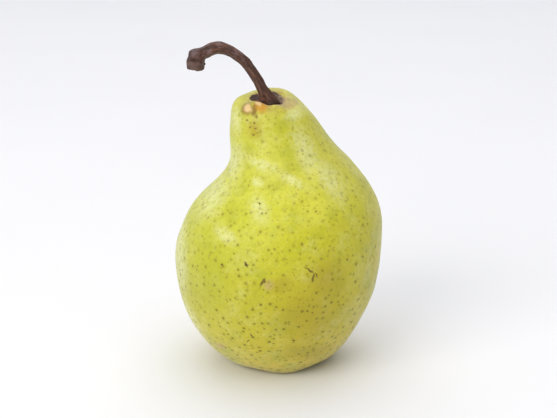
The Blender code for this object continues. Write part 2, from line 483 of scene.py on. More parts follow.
MARK_PLACES: dict[Blemish, tuple[tuple[float | Side, ...], ...]] = {  # x, z, wide, long, turn, side
    # darker green patches, partly painted shade in the dents and the dimple
    Blemish.GREEN_WITH_PAINTED_SHADE: (
        (1.7, 80.6, 8.0, 4.5, -20), (3.0, 72.2, 8.0, 6.0), (-7.4, 78.6, 2.6, 6.0, 10),
        (-9.0, 73.0, 5.5, 4.5), (-13.9, 54.8, 5.5, 8.0, 25), (-20.0, 36.0, 12.0, 20.0, 10),
    ),
    # olive-gold patches, mostly painted shade and reflected colour on the lower right
    Blemish.OLIVE_GOLD_AND_SHADE: (
        (9.0, 26.0, 24.0, 26.0, -20), (1.0, 36.4, 9.0, 7.0, -20), (14.0, 36.0, 16.0, 18.0, 0),
        (9.0, 11.5, 20.0, 9.0, 10), (-7.2, 79.0, 6.0, 7.0),
    ),
    # painted light: lighter yellow where the right shoulder and neck catch the lamps
    Blemish.PAINTED_LIGHT_YELLOW: (
        (11.0, 56.5, 12.0, 8.0, -20), (10.5, 66.5, 6.0, 9.0, -20),
    ),
    # pale patches: painted highlights on the belly and neck, painted reflection along the left edge
    Blemish.PALE_BLOOM_AND_HIGHLIGHT: (
        (-13.6, 67.0, 7.0, 16.0, 15), (-13.0, 80.5, 4.4, 11.0, -4), (-20.0, 57.5, 8.0, 20.0, 40),
        (-31.0, 38.0, 7.0, 30.0, 0), (-27.5, 18.0, 6.0, 18.0, -30), (-5.0, 68.8, 12.0, 3.6, 10),
        (-6.4, 63.8, 4.6, 2.8, 10), (-5.8, 57.4, 6.5, 9.0, -25), (-15.8, 49.6, 8.0, 5.0, 20),
        (8.2, 72.5, 7.0, 18.0, -22), (15.5, 64.0, 6.0, 17.0, -38), (5.0, 82.6, 8.0, 4.0, -10),
        (4.0, 65.0, 8.0, 3.0, 25),
    ),
    Blemish.RUB: (
        (-3.0, 36.6, 3.6, 4.2), (4.0, 85.2, 8.0, 2.4, -12), (-18.0, 11.5, 6.0, 3.6, -35),
        (8.5, 53.0, 9.0, 4.5, 20, Side.BACK),
    ),
    Blemish.GREY_CORK: (
        (1.4, 85.6, 6.0, 3.4, -20),
    ),
    Blemish.RUSSET: (
        (-9.5, 84.5, 5.2, 4.4), (-7.3, 84.4, 2.2, 5.0, 10), (-5.4, 87.0, 7.0, 2.2, -10),
        (-6.6, 82.6, 1.4, 1.2, 30), (11.0, 50.5, 3.0, 0.9, 35, Side.BACK), (-9.4, 81.4, 0.9, 0.9),
        (-7.0, 79.2, 1.1, 0.9), (-7.6, 77.2, 0.9, 0.9), (-8.5, 79.5, 0.8, 0.7), (-6.2, 77.9, 0.8, 0.7),
        (-7.3, 80.7, 0.8, 0.6),
    ),
    Blemish.AMBER: (
        (-5.2, 85.2, 4.4, 4.2, 10),
    ),
    # painted highlight on the amber russet spot by the stem
    Blemish.CREAM_HIGHLIGHT: (
        (-9.3, 84.6, 3.2, 2.6, 20), (-5.9, 86.0, 2.2, 1.7, 30),
    ),
    Blemish.SCRATCH: (
        (-4.3, 38.0, 1.2, 1.8, 12), (-5.0, 37.2, 1.2, 2.2, 15), (9.0, 40.8, 0.8, 4.2, -52),
        (10.3, 38.4, 0.8, 3.4, 5), (11.2, 39.2, 0.5, 2.4, -20), (-12.0, 33.0, 0.4, 5.0, -38, Side.BACK),
        (-9.4, 31.6, 0.35, 2.6, 30, Side.BACK),
    ),
    Blemish.CORK_SPOT: (
        (-9.6, 42.3, 1.1, 2.0, -28), (-16.9, 41.2, 0.9, 1.0), (-5.6, 58.8, 0.8, 0.8),
        (4.6, 17.1, 1.2, 0.8, 15), (-8.2, 18.9, 1.3, 0.5, 75), (-9.2, 16.4, 1.2, 0.5, -70),
        (-6.0, 30.0, 1.2, 1.0, 0, Side.BACK), (4.0, 61.0, 0.9, 1.3, 30, Side.BACK),
    ),
}
SMOOTH_MARKS = (  # in the order that they are laid, under the dots
    Blemish.GREEN_WITH_PAINTED_SHADE,
    Blemish.OLIVE_GOLD_AND_SHADE,
    Blemish.PAINTED_LIGHT_YELLOW,
    Blemish.PALE_BLOOM_AND_HIGHLIGHT,
    Blemish.RUB,
)
ROUGH_MARKS = (  # over the dots, and matt
    Blemish.GREY_CORK,
    Blemish.RUSSET,
    Blemish.AMBER,
    Blemish.CREAM_HIGHLIGHT,
    Blemish.SCRATCH,
    Blemish.CORK_SPOT,
)
MARKS = tuple(Mark(kind, *place) for kind, places in MARK_PLACES.items() for place in places)


# ---------------- finishes


@dataclass(frozen=True)
class Russet:
    """A patch of rough cork on the skin: its middle, and how far out it is whole and reaches, in mm."""

    middle: tuple[float, float, float]
    whole: float
    reach: float
    tint: Tint


@dataclass(frozen=True)
class WaxedSkin:
    """Ripe pear skin: a thin coloured rind under its own wax, over pale flesh that light gets into.

    The wax gives a broad soft sheen and whitens the edges, the flesh softens the shadows, and the
    breathing pores show as fine olive-brown dots, strongest on the lower part, towards the eye.
    """

    height_tones_and_shade: tuple[tuple[float, str], ...] = (  # height in mm, colour; darker on the lower belly as painted shade, lighter at the very bottom as painted bounce light
        (0.0, "#D2B84A"),
        (5.0, "#DAC348"),
        (14.0, "#CDBB22"),
        (28.0, "#C3B80C"),
        (44.0, "#C8C41A"),
        (58.0, "#D0CF2A"),
        (70.0, "#D2D044"),
        (80.0, "#CBC82C"),
        (89.0, "#D0C846"),
    )
    cool_side: Tint = Tint("#AAB63A", 0.42)  # the side with more chlorophyll
    warm_side: Tint = Tint("#C6AA14", 0.30)
    green_mottle: Tint = Tint("#A5A80C", 0.55)
    pale_veil: Tint = Tint("#DBDA8C", 0.40)
    green_speckle: Tint = Tint("#A5A80C", 0.26)
    pale_fleck: Tint = Tint("#DBDA8C", 0.22)
    pore_halo: Tint = Tint("#A5A80C", 0.42)
    fine_pore: Tint = Tint("#8E780A", 0.56)
    pore: Tint = Tint("#8E780A", 1.0)
    pore_core: Tint = Tint("#6A4808", 0.60)
    russets: tuple[Russet, ...] = (
        Russet((0.0, 0.0, 4.0), 5.0, 17.0, Tint("#86693A", 0.8)),  # in the eye's basin
        Russet((-3.0, -3.8, 85.5), 4.0, 9.5, Tint("#A8873F", 0.8)),  # round the stem
    )
    pore_spacing: float = 2.35  # mm, as are the sizes below
    pore_radius: float = 0.49
    fine_pore_spacing: float = 1.5
    fine_pore_radius: float = 0.27
    mottle_size: float = 9.0
    speckle_size: float = 1.3
    peel_size: float = 0.8
    ripple_size: float = 3.2
    waver: float = 1.3  # how far the marks' edges stray
    smooth_wax: tuple[float, float] = (0.48, 0.60)  # roughness of the wax, from patch to patch
    bare_cork: float = 0.78  # roughness of dots and marks

    def pores(self, wiring: Wiring, place: Feed, normal: Feed, spacing: float, radius: float) -> Socket:
        """Draws round dots that lie flat on the skin, each of its own size and depth of colour.

        Args:
            wiring: the material's wiring.
            place: the place on the skin, in millimetres.
            normal: the way out of the skin there.
            spacing: how far apart the dots are, in millimetres.
            radius: the usual dot's radius, in millimetres.

        Returns:
            0 between the dots, and up to 1 in them.
        """
        cells = wiring.vector("SCALE", place, Scale=1 / spacing)
        nearest = add_node(wiring.tree, "ShaderNodeTexVoronoi", {"Vector": cells, "Scale": 1.0}).node
        away = wiring.vector("SUBTRACT", nearest.outputs["Position"], cells)
        across = wiring.vector("LENGTH", wiring.vector("CROSS_PRODUCT", away, normal))
        depth = wiring.math("ABSOLUTE", wiring.vector("DOT_PRODUCT", away, normal))
        luck = wiring.parts(nearest.outputs["Color"])
        size = wiring.spread(luck["X"], 0.45 * radius / spacing, 1.25 * radius / spacing)
        disc = wiring.between(wiring.math("DIVIDE", across, size), 1.35, 0.35)
        at_skin = wiring.between(depth, 0.44, 0.32, smooth=False)
        return wiring.times(wiring.times(disc, at_skin), wiring.spread(luck["Y"], 0.35, 1.0))

    def blemishes(
        self, wiring: Wiring, wavering: Feed, marks: Sequence[tuple[Mark, Vector]], kind: Blemish
    ) -> Socket:
        """Draws every mark of one kind.

        Args:
            wiring: the material's wiring.
            wavering: the place on the skin in millimetres, shifted a little to and fro.
            marks: each mark with its place on the skin.
            kind: the kind to draw.

        Returns:
            0 off the marks, and up to the kind's cover in their middles.
        """
        total = 0.0
        for mark, where in marks:
            if mark.kind is not kind:
                continue
            shape = {
                "Vector": wavering,
                "Location": tuple(where),
                "Rotation": (0.0, math.radians(mark.turn), 0.0),
                "Scale": (mark.wide / 2, max(mark.wide, mark.long), mark.long / 2),
            }
            inside = add_node(wiring.tree, "ShaderNodeMapping", shape, vector_type="TEXTURE")
            share = wiring.vector("LENGTH", inside)
            spot = wiring.between(share, 1.0 + kind.softness / 3, 1.0 - kind.softness)
            total = wiring.math("MAXIMUM", total, spot)
        return wiring.times(total, kind.cover)

    def ground_colour_and_shade(self, wiring: Wiring, place: Socket) -> Socket:
        """Mixes the rind's colour: by height, with painted shade and bounce light in it, by side, and
        mottled.

        Args:
            wiring: the material's wiring.
            place: the place on the skin, in millimetres.

        Returns:
            The colour.
        """
        axes = wiring.parts(place)
        top = self.height_tones_and_shade[-1][0]
        # the height ramp holds painted shade on the lower belly and painted bounce light at the bottom
        ramp = add_node(wiring.tree, "ShaderNodeValToRGB", {0: wiring.math("DIVIDE", axes["Z"], top)})
        stops = ramp.node.color_ramp.elements
        while len(stops) < len(self.height_tones_and_shade):
            stops.new(1.0)
        for stop, (level, tone) in zip(stops, self.height_tones_and_shade):
            stop.position = level / top
            stop.color = linear(tone)
        speckles = wiring.patches(place, self.speckle_size, 0.25, 0.7, 83.0, 3.0)
        veil = wiring.patches(place, self.mottle_size * 0.7, 0.42, 0.74, 41.0)
        colour = ramp
        for tint, where in (
            (self.cool_side, wiring.between(axes["X"], 4.0, -34.0, smooth=False)),
            (self.warm_side, wiring.between(axes["X"], -2.0, 34.0, smooth=False)),
            (self.green_mottle, wiring.patches(place, self.mottle_size, 0.46, 0.72, 3.0)),
            (self.pale_veil, wiring.times(veil, speckles)),
            (self.green_speckle, wiring.patches(place, self.speckle_size, 0.30, 0.70, 17.0)),
            (self.pale_fleck, wiring.patches(place, self.speckle_size * 0.5, 0.52, 0.78, 71.0)),
        ):
            colour = wiring.tint(colour, tint, where)
        return colour

    def material(self, marks: Sequence[tuple[Mark, Vector]]) -> Material:
        """Makes the skin's material.

        Args:
            marks: each mark with its place on the skin, in millimetres.

        Returns:
            The material.
        """
        material, wiring = blank_material("pear_skin_natural_wax")
        normal = add_node(wiring.tree, "ShaderNodeTexCoord").node.outputs["Normal"]
        place = wiring.millimetres()
        stray = wiring.noise(place, 1 / 0.9, 3.0).node.outputs["Color"]
        stray = wiring.vector("SUBTRACT", stray, (0.5, 0.5, 0.5))
        wavering = wiring.vector("MULTIPLY_ADD", stray, (self.waver, self.waver, self.waver), place)

        colour = self.ground_colour_and_shade(wiring, place)
        for kind in SMOOTH_MARKS:
            cover = self.blemishes(wiring, wavering, marks, kind)
            # the pale patches, with their painted highlights and reflection, are broken into mottles
            if kind is Blemish.PALE_BLOOM_AND_HIGHLIGHT:
                cover = wiring.times(cover, wiring.patches(place, self.speckle_size, 0.15, 0.6, 83.0, 3.0))
            colour = wiring.mix(colour, linear(kind.colour), cover)

        low_down = wiring.between(wiring.parts(place)["Z"], 74.0, 16.0, smooth=False)
        richness = wiring.spread(low_down, 0.30, 0.95)
        dots = self.pores(wiring, place, normal, self.pore_spacing, self.pore_radius)
        halo = self.pores(wiring, place, normal, self.pore_spacing, self.pore_radius * 2.6)
        fine = self.pores(wiring, place, normal, self.fine_pore_spacing, self.fine_pore_radius)
        for tint, where in (
            (self.pore_halo, wiring.times(halo, richness)),
            (self.fine_pore, fine),
            (self.pore, wiring.times(dots, richness)),
            (self.pore_core, wiring.times(wiring.math("POWER", dots, 3.0), richness)),
        ):
            colour = wiring.tint(colour, tint, where)

        matt = dots
        for russet in self.russets:
            away = wiring.vector("DISTANCE", wavering, russet.middle)
            near = wiring.between(away, russet.reach, russet.whole)
            cover = wiring.times(near, wiring.patches(place, 1.6, 0.34, 0.58, 29.0, 4.0))
            matt = wiring.math("MAXIMUM", matt, cover)
            colour = wiring.tint(colour, russet.tint, cover)
        for kind in ROUGH_MARKS:
            cover = self.blemishes(wiring, wavering, marks, kind)
            matt = wiring.math("MAXIMUM", matt, cover)
            colour = wiring.mix(colour, linear(kind.colour), cover)

        sheen = wiring.patches(place, self.mottle_size * 0.5, 0.35, 0.65, 53.0, 3.0)
        feeds = {"Factor": matt, "A": wiring.spread(sheen, *self.smooth_wax), "B": self.bare_cork}
        roughness = add_node(wiring.tree, "ShaderNodeMix", feeds, data_type="FLOAT")
        height = wiring.times(wiring.noise(place, self.peel_size, 2.0), 0.030)
        grit = wiring.times(wiring.noise(place, 1 / 3, 3.0), matt)
        for wave, depth in ((wiring.noise(place, self.ripple_size, 2.0), 0.10), (dots, 0.018), (grit, 0.10)):
            height = wiring.math("MULTIPLY_ADD", wave, depth, height)
        wiring.dress(colour, roughness, height)
        inputs = wiring.shader.inputs
        inputs["IOR"].default_value = 1.45
        inputs["Subsurface Weight"].default_value = 0.12
        inputs["Subsurface Radius"].default_value = (1.0, 0.75, 0.15)
        inputs["Subsurface Scale"].default_value = 2.0 * MM
        inputs["Coat Weight"].default_value = 0.08
        inputs["Coat Roughness"].default_value = 0.36
        inputs["Sheen Weight"].default_value = 0.22
        inputs["Sheen Roughness"].default_value = 0.45
        return material


@dataclass(frozen=True)
class WoodyBark:
    """The stem's thin bark over wood: brown, drawn into fibres along its length, greyed where it weathered.

    The fibres give long fine streaks of light and dark, the weathered skin a dull purple-grey bloom on
    the bend, and the broken end shows dark torn wood, darkened all round as painted shade. The foot is
    darkened as painted shade where it sits down in the socket.
    """

    wood: str = "#4C2B1A"
    light_fibre: Tint = Tint("#82543A", 0.75)
    dark_fibre: Tint = Tint("#140A06", 0.82)
    weathered: Tint = Tint("#7A6466", 0.70)
    # dark torn wood at the broken end, darker still as painted shade
    torn_wood_and_shade: Tint = Tint("#34130E", 0.85)
    lip: Tint = Tint("#94786A", 0.28)
    # painted shade: the stem darkened near its foot, where it sits down in the socket
    shaded_foot: Tint = Tint("#140A06", 0.55)
    fibre_width: float = 0.45  # mm, drawn coarser than real fibres so that it shows
    fibre_stretch: float = 0.14
    blotch_size: float = 1.8  # mm
    flake_size: float = 0.5
    weathered_from: float = 12.0  # mm along the stem
    weathered_whole: float = 22.0
    dark_end_length: float = 3.9  # mm of dark torn wood at the broken end, darkened all round as painted shade

    def material(self, length: float) -> Material:
        """Makes the bark's material.

        Args:
            length: the stem's length, in millimetres.

        Returns:
            The material.
        """
        material, wiring = blank_material("pear_stem_bark_weathered")
        grain = add_node(wiring.tree, "ShaderNodeAttribute", attribute_name="grain").node.outputs["Vector"]
        along = wiring.parts(grain)["Z"]
        drawn = wiring.vector("MULTIPLY", grain, (1.0, 1.0, self.fibre_stretch))
        light = wiring.patches(drawn, self.fibre_width * 1.8, 0.46, 0.70, detail=3.0)
        dark = wiring.patches(drawn, self.fibre_width, 0.50, 0.72, detail=4.0)
        blotch = wiring.patches(grain, self.blotch_size, 0.42, 0.62, detail=3.0)
        flake = wiring.patches(drawn, self.flake_size, 0.36, 0.66, detail=4.0)
        far_out = wiring.between(along, self.weathered_from, self.weathered_whole)
        end = wiring.between(along, length - self.dark_end_length, length - self.dark_end_length + 1)
        colour = linear(self.wood)
        for tint, where in (
            (self.light_fibre, light),
            (self.dark_fibre, dark),
            (self.weathered, wiring.times(far_out, wiring.times(blotch, flake))),
            (self.torn_wood_and_shade, end),
            (self.lip, wiring.times(end, blotch)),
            # painted shade on the stem's foot, down in the socket
            (self.shaded_foot, wiring.between(along, 6.5, 2.5)),
        ):
            colour = wiring.tint(colour, tint, where)
        height = wiring.times(wiring.noise(grain, 1 / 3.2, 4.0), 0.07)
        height = wiring.math("MULTIPLY_ADD", dark, -0.10, height)
        height = wiring.math("MULTIPLY_ADD", flake, 0.04, height)
        wiring.dress(colour, wiring.spread(light, 0.62, 0.48), height)
        wiring.shader.inputs["IOR"].default_value = 1.5
        return material


@dataclass(frozen=True)
class DryTissue:
    """Dead plant tissue, dried brown: cork, sepals or stamens, dull, wrinkled and blotched."""

    name: str
    tone: str
    pale: str
    dark: str
    grey: str
    wrinkle: float  # mm
    grey_side: float = 0.0  # how far the grey grows towards +X, from 0 for none to 1

    def material(self) -> Material:
        """Makes the tissue's material.

        Returns:
            The material.
        """
        material, wiring = blank_material(self.name)
        place = wiring.millimetres()
        wrinkles = wiring.noise(place, self.wrinkle, 5.0)
        ridge = wiring.between(wrinkles, 0.38, 0.66)
        patch = wiring.between(wiring.noise(place, self.wrinkle / 0.3, 3.0), 0.42, 0.64)
        colour = linear(self.dark)
        for tint, where in (
            (Tint(self.tone, 1.0), ridge),
            (Tint(self.pale, 1.0), patch),
            (Tint(self.grey, self.grey_side), wiring.between(wiring.parts(place)["X"], -2.2, 0.6)),
        ):
            colour = wiring.tint(colour, tint, where)
        colour = wiring.mix(colour, ridge, 0.5, "MULTIPLY")
        wiring.dress(colour, wiring.spread(ridge, 0.9, 0.68), wrinkles, depth=0.2)
        return material


# Dark crumbly cork, weathered grey on its right: gives the stem's foot a rough, shadowed seat.
CORK_COLLAR = DryTissue("pear_collar_cork", "#63361E", "#7C4A2C", "#30170E", "#9C8670", 0.8, grey_side=0.85)
# Thin papery blades that dried on the fruit: dull brown, lighter in blotches.
DRY_SEPAL = DryTissue("pear_sepal_dried", "#6A4A2E", "#8C6E4A", "#2E1D14", "#7C6A58", 0.6)
# Shrivelled threads: darker than the sepals and finer in their wrinkles.
DRY_STAMEN = DryTissue("pear_stamen_dried", "#5A3B22", "#7A5634", "#1E130D", "#6A5A48", 0.4)


@dataclass(frozen=True)
class PaintedBoard:
    """A white board with a matt coat: it stands under the pear and throws soft light back up at it."""

    white: str = "#F1F1F3"
    shade: str = "#EBEBEE"
    roughness: float = 0.75

    def material(self) -> Material:
        """Makes the board's material.

        Returns:
            The material.
        """
        material, wiring = blank_material("board_matt_white_paint")
        coords = add_node(wiring.tree, "ShaderNodeTexCoord").node.outputs["Object"]
        cloudy = add_node(wiring.tree, "ShaderNodeTexNoise", {"Vector": coords, "Scale": 6.0, "Detail": 2.0})
        colour = wiring.mix(linear(self.white), linear(self.shade), cloudy)
        wiring.tree.links.new(colour, wiring.shader.inputs["Base Color"])
        wiring.shader.inputs["Roughness"].default_value = self.roughness
        return material


# ---------------- the fruit


@dataclass(frozen=True)
class Swell:
    """A place where the skin stands out, or sinks in where rise is below 0, in millimetres."""

    x: float
    y: float
    z: float
    reach: float
    rise: float


@dataclass
class Fruit:
    """The fruit: a finely drawn skin from the calyx basin, round belly and neck, to the stem's socket."""

    finish: WaxedSkin = field(default_factory=WaxedSkin)
    node: str = "pear_body"
    segments: int = 336
    rings: int = 279
    stations: tuple[tuple[float, ...], ...] = (  # height, radius, lean to X and to Y, nod in degrees
        (5.5, 0.0, 0.0, 0.0, 0),  # middle of the calyx basin
        (5.3, 2.2, 0.0, 0.0, 0), (4.4, 4.6, 0.0, 0.0, 0), (2.4, 6.8, 0.0, 0.0, 0),
        (0.3, 9.5, 0.0, 0.0, 0),
        (-0.75, 12.4, 0.0, 0.0, 0),  # crest of the rim, flattened where the pear stands on it
        (0.9, 17.0, -0.1, 0.0, 0), (6.0, 22.3, -0.3, 0.0, 0), (15.0, 28.1, -0.6, 0.0, 0),
        (26.0, 31.9, -0.4, 0.0, 0),
        (37.0, 33.0, 0.0, 0.0, 0),  # widest girth
        (46.5, 31.5, 1.6, 0.0, 0), (54.0, 28.1, 3.0, 0.0, 0),
        (60.5, 23.0, 4.3, 0.0, 0),  # the full shoulder on the right
        (66.6, 18.7, 3.4, 0.0, 1),
        (73.0, 15.6, 0.6, -0.3, 3),  # the neck
        (79.0, 13.3, -1.6, -0.8, 7), (83.6, 11.0, -3.1, -1.4, 11),
        (85.7, 8.5, -3.8, -2.2, 16),  # the crown, which faces forward and to the left
        (85.9, 5.8, -3.3, -3.2, 21),
        (84.9, 3.7, -2.4, -3.9, 25),  # mouth of the socket, close round the stem
        (83.6, 2.7, -1.7, -3.7, 27), (82.0, 2.4, -1.0, -3.3, 27),
        (81.2, 0.0, -0.6, -3.1, 27),  # floor of the socket
    )
    nod_heading: float = math.radians(244)
    lobes: int = 5
    lobe_crest: float = math.radians(-80)
    swells: tuple[Swell, ...] = (
        Swell(-6.9, -6.6, 86.0, 2.9, 2.9),  # fleshy fold in front of the stem, on its left
        Swell(-9.0, -8.5, 84.6, 3.0, 0.7), Swell(-11.2, -1.5, 85.2, 4.2, 1.3),
        Swell(6.5, 0.0, 84.6, 4.2, -0.9), Swell(-4.6, -7.6, 85.2, 2.4, 1.8),
        Swell(-1.2, -7.8, 84.8, 2.4, 1.0),
        Swell(1.5, -6.8, 86.0, 2.2, -0.35),  # crease that runs to the right from the stem
        Swell(4.5, -7.5, 85.2, 2.2, -0.30), Swell(1.7, -12.8, 80.8, 4.2, -0.30),
        Swell(3.0, -16.0, 72.4, 4.2, -0.30), Swell(-5.5, -15.4, 69.1, 3.6, 0.30),
        Swell(-6.3, -17.6, 63.9, 2.8, 0.30), Swell(-5.8, -23.4, 57.9, 4.4, 0.40),
        Swell(-14.4, -22.4, 54.6, 3.8, -0.40), Swell(-15.6, -24.9, 49.8, 4.0, 0.35),
        Swell(0.4, -33.1, 35.2, 6.0, -0.25), Swell(12.0, 29.0, 44.0, 7.0, -0.35),
        Swell(-17.0, 20.0, 52.0, 4.5, 0.30), Swell(20.0, 9.0, 62.0, 4.5, 0.30),
        Swell(3.0, 13.0, 78.0, 4.0, -0.30),
    )
    socket: tuple[float, float, float] = (-3.0, -3.9, 85.4)  # its mouth, round the stem
    skin: BVHTree | None = None

    def outline(self) -> Array:
        """Runs a smooth outline through the stations, in even steps along the skin.

        Returns:
            One row for each ring, with the stations' columns.
        """
        stations = np.array(self.stations)
        steps = np.hypot(*np.diff(stations[:, :2], axis=0).T)
        knots = np.concatenate([[0.0], np.cumsum(steps)])
        return natural_spline(knots, stations, np.linspace(0.0, knots[-1], self.rings + 2)[1:-1])

    def crown_axes(self, nod: Array) -> tuple[Array, Array]:
        """Tips the X and Y directions of each ring over to where the crown nods.

        Args:
            nod: each ring's nod, in radians.

        Returns:
            Each ring's own X and Y directions.
        """
        hinge = np.array([-math.sin(self.nod_heading), math.cos(self.nod_heading), 0.0])
        cos, sin = np.cos(nod)[:, None], np.sin(nod)[:, None]
        tipped = []
        for axis in np.eye(3)[:2]:
            level = hinge * (hinge @ axis)
            tipped.append(axis * cos + np.cross(hinge, axis) * sin + level * (1 - cos))
        return tipped[0], tipped[1]

    def grid(self) -> Array:
        """Draws the skin from the outline, with its broad bumps and the lobes round the eye.

        Returns:
            The points, rings by segments by 3, in millimetres.
        """
        rows = self.outline()
        height, radius = rows[:, :1], rows[:, 1:2]
        angle = np.linspace(0, 2 * math.pi, self.segments, endpoint=False)[None, :]
        east, north = self.crown_axes(np.radians(rows[:, 4]))
        outward = east[:, None] * np.cos(angle)[..., None] + north[:, None] * np.sin(angle)[..., None]
        middle = np.stack([rows[:, 2], rows[:, 3], rows[:, 0]], axis=-1)[:, None]
        points = middle + outward * radius[..., None]
        broad = grain_noise(points, 21.0, 0.0) * 0.55
        fine = grain_noise(points, 9.0, 4.1) * 0.16
        fade = smooth_step((radius - 5.0) / 5.0)
        points = points + outward * ((broad + fine) * fade)[..., None]
        groove = (1 - np.cos(self.lobes * (angle - self.lobe_crest))) / 2
        on_rim = np.exp(-(((radius - 12.5) / 9.0) ** 2))
        points[..., 2] += groove * on_rim * (1 - smooth_step(height / 24.0))
        flutes = np.sin(3 * self.lobes * angle + 1.5 * np.sin(3 * angle))
        on_basin = np.exp(-(((radius - 5.5) / 3.0) ** 2)) * (height < 20)
        points[..., 2] += 0.16 * flutes * on_basin
        points[..., 2] = np.maximum(points[..., 2], 0.0)  # the flat spot
        return points

    def dressed(self, points: Array) -> Array:
        """Gives the smooth skin its dents, folds and the fine unevenness of real skin.

        Args:
            points: the smooth skin, in the frame's place, in millimetres.

        Returns:
            The points, moved in or out.
        """
        normal = grid_normals(points)
        rise = grain_noise(points, 5.5, 11.0) * 0.10 + grain_noise(points, 2.3, 23.0) * 0.035
        for swell in self.swells:
            away = np.linalg.norm(points - np.array([swell.x, swell.y, swell.z]), axis=-1)
            rise += swell.rise * np.exp(-((away / swell.reach) ** 2))
        away = np.linalg.norm(points - np.array(self.socket), axis=-1)
        rise += 0.22 * grain_noise(points, 1.5, 31.0) * np.exp(-((away / 5.5) ** 2))
        moved = points + normal * rise[..., None]
        on_floor = points[..., 2] < 0.02
        moved[on_floor] = points[on_floor]
        return moved

    def on_skin(self, x: float, z: float, side: Side) -> Vector:
        """Finds a place on the skin, straight in from one side.

        Args:
            x: how far to +X, in millimetres.
            z: how far up.
            side: the side to come in from.

        Returns:
            The place, in millimetres.
        """
        start = Vector((x, side.value * 200.0, z))
        hit = self.skin.ray_cast(start, Vector((0.0, -side.value, 0.0)))[0]
        return hit if hit else Vector((x, 0.0, z))

    def build(self) -> Piece:
        """Draws the skin inside its node's box, finds the marks' places on it and dresses it.

        Returns:
            The skin.
        """
        low, high = (np.array(corner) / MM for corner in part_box(self.node))
        raw = self.grid()
        flat = raw.reshape(-1, 3)
        points = into_box(flat, low, high).reshape(raw.shape)
        points = np.clip(self.dressed(points), low, high)
        shell = Shell()
        shell.add_rings(points)
        self.skin = BVHTree.FromPolygons(shell.points[0].tolist(), shell.faces)
        marks = [(mark, self.on_skin(mark.x, mark.z, mark.side)) for mark in MARKS]
        return shell.finish("pear_skin_body", self.finish.material(marks), "pear_skin", self.node)


# ---------------- the stem


@dataclass(frozen=True)
class Knot:
    """A bump on the stem, or a nick where rise is below 0; along and reach in mm, round in degrees."""

    along: float
    round: float
    reach: float
    spread: float
    rise: float


